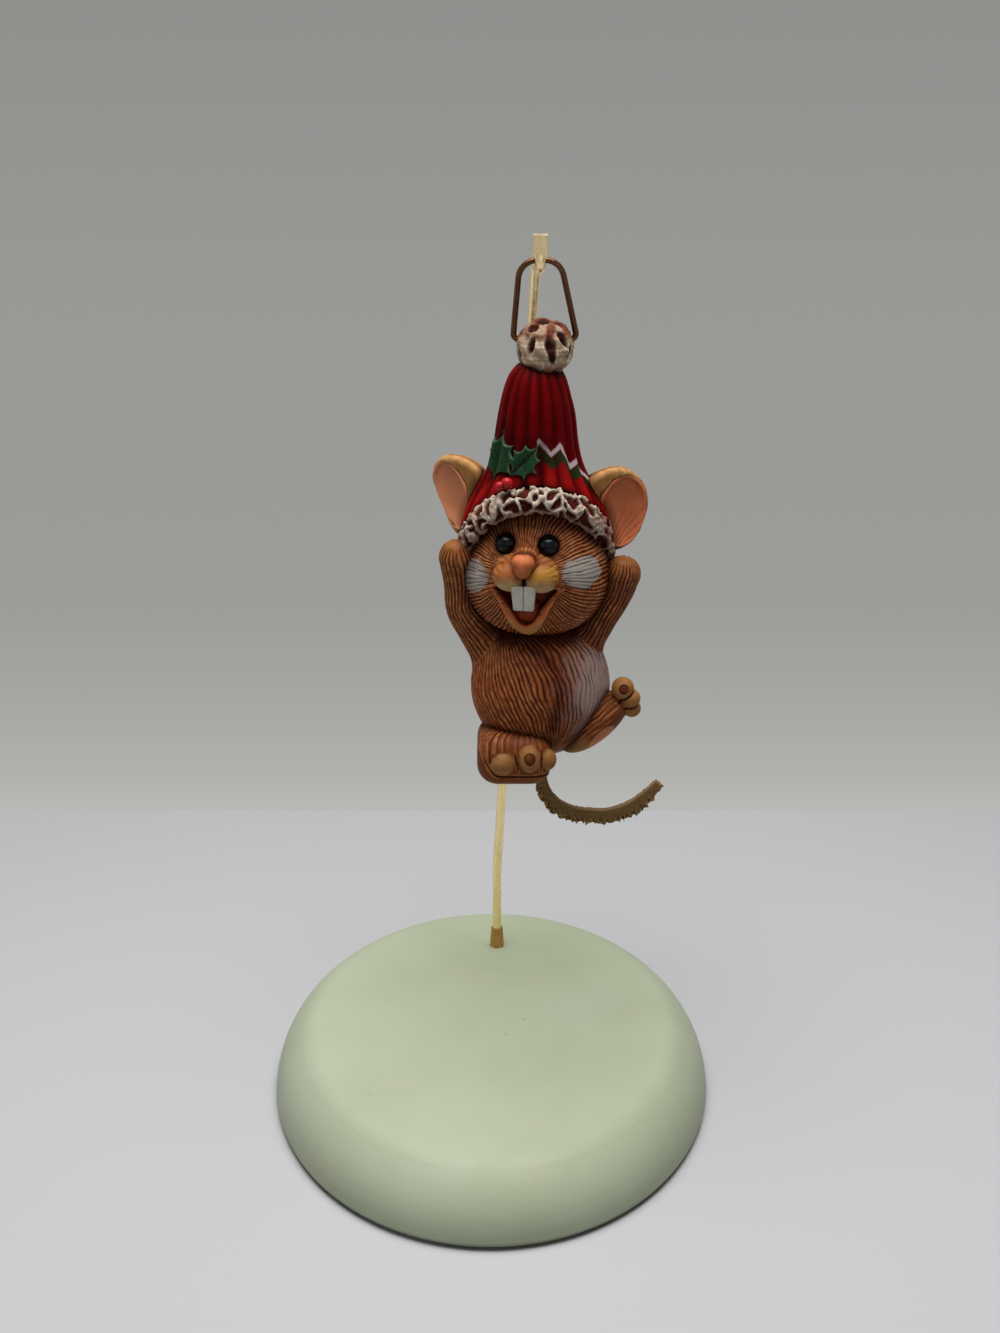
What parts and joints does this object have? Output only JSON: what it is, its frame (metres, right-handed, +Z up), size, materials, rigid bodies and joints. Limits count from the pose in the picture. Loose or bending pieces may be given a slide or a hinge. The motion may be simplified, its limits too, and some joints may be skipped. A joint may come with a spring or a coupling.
{
  "type": "mouse figurine",
  "caption": "Painted mouse figurine in a ribbed winter hat, swinging on a wire loop from a hooked brass rod that rises from an egg-shaped base.",
  "frame": {"origin": "centre of the underside of the base, on the surface it stands on", "axes": "+Z up along the rod; the figurine faces -Y; +X to the viewer's right"},
  "size_m": [0.0732, 0.0958, 0.1415],
  "materials": {
    "base_glaze": "satin pale green, smooth",
    "felt": "short felt pile",
    "brass_rod": "bright drawn wire",
    "bronze_wire": "dark bronze, polished",
    "wool_white": "painted cream over a brown wash",
    "hat_red": "painted crimson, darker in the grooves",
    "holly_green": "painted green with pale edges",
    "berry_red": "glossy painted red",
    "fur_brown": "carved fur, brown wash over tan",
    "eye_black": "gloss black",
    "muzzle_cream": "painted cream and tan",
    "nose_peach": "satin peach",
    "tooth_white": "satin white",
    "lip_peach": "painted peach",
    "tongue_red": "painted dark red",
    "ear_skin": "painted pink with a tan rim",
    "tail_suede": "khaki suede with a fuzzy edge"
  },
  "bodies": {
    "stand": {"display_base": "base_glaze", "base_felt": "felt", "stand_rod": "brass_rod", "rod_collar": "brass_rod"},
    "hanger": {"hanger_loop": "bronze_wire"},
    "figurine": {"pompom": "wool_white", "hat_crown": "hat_red", "hat_brim": "wool_white", "holly_leaf_left": "holly_green", "holly_leaf_right": "holly_green", "holly_berries": "berry_red", "head": "fur_brown", "eye_left": "eye_black", "eye_right": "eye_black", "muzzle": "muzzle_cream", "nose": "nose_peach", "front_teeth": "tooth_white", "lower_lip": "lip_peach", "tongue": "tongue_red", "ear_left": "ear_skin", "ear_right": "ear_skin", "torso": "fur_brown", "arm_left": "fur_brown", "arm_right": "fur_brown", "foot_left": "fur_brown", "foot_right": "fur_brown", "tail": "tail_suede"}
  },
  "joints": [
    {"name": "hanger_swing", "type": "hinge", "parent": "stand", "child": "hanger", "pos_m": [0.0076, 0.0117, 0.1359], "axis": [0, 1, 0], "range_deg": [-35, 35]},
    {"name": "figurine_pitch", "type": "hinge", "parent": "hanger", "child": "figurine", "pos_m": [0.00845, 0.0117, 0.125], "axis": [1, 0, 0], "range_deg": [-40, 4]}
  ]
}
